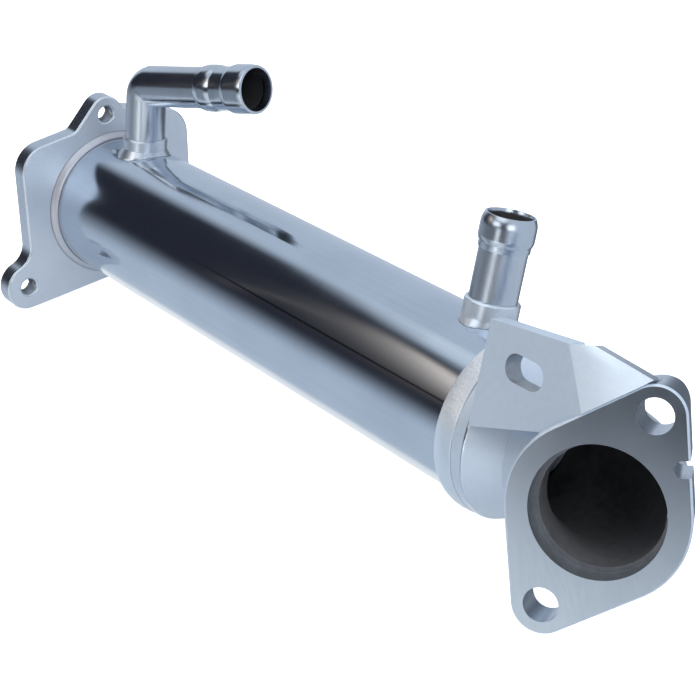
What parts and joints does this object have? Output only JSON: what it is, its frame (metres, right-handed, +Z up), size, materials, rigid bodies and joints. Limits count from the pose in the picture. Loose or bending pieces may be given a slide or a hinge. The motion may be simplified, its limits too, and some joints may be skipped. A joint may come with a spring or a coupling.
{
  "type": "egr cooler",
  "caption": "Round shell-and-tube exhaust gas cooler with an eared inlet flange, a cast outlet elbow with bolt flange and bracket lug, and coolant hose spigots.",
  "frame": {"origin": "centre of the gas inlet on the inlet flange's mating face", "axes": "+X along the jacket from the inlet flange to the outlet casting, +Z up through the top ear"},
  "size_m": [0.3368, 0.1046, 0.1097],
  "materials": {
    "jacket_steel": "polished stainless tube",
    "flange_steel": "satin stainless plate",
    "cast_steel": "fine-grained investment casting, machined faces",
    "pipe_steel": "bright stainless pipe",
    "weld_steel": "rough brushed weld bead",
    "inner_steel": "dull stainless, hidden"
  },
  "bodies": {
    "root": {"inlet_flange": "flange_steel", "inlet_weld": "weld_steel", "shell_tube": "jacket_steel", "outlet_weld": "weld_steel", "outlet_housing": "cast_steel", "elbow_pipe": "pipe_steel", "elbow_collar": "pipe_steel", "straight_pipe": "pipe_steel", "straight_collar": "pipe_steel", "inlet_header": "inner_steel", "outlet_header": "inner_steel", "baffle_1": "inner_steel", "baffle_2": "inner_steel", "gas_tube_01": "inner_steel", "gas_tube_02": "inner_steel", "gas_tube_03": "inner_steel", "gas_tube_04": "inner_steel", "gas_tube_05": "inner_steel", "gas_tube_06": "inner_steel", "gas_tube_07": "inner_steel", "gas_tube_08": "inner_steel", "gas_tube_09": "inner_steel", "gas_tube_10": "inner_steel", "gas_tube_11": "inner_steel", "gas_tube_12": "inner_steel", "gas_tube_13": "inner_steel", "gas_tube_14": "inner_steel", "gas_tube_15": "inner_steel", "gas_tube_16": "inner_steel", "gas_tube_17": "inner_steel", "gas_tube_18": "inner_steel", "gas_tube_19": "inner_steel"}
  },
  "joints": []
}
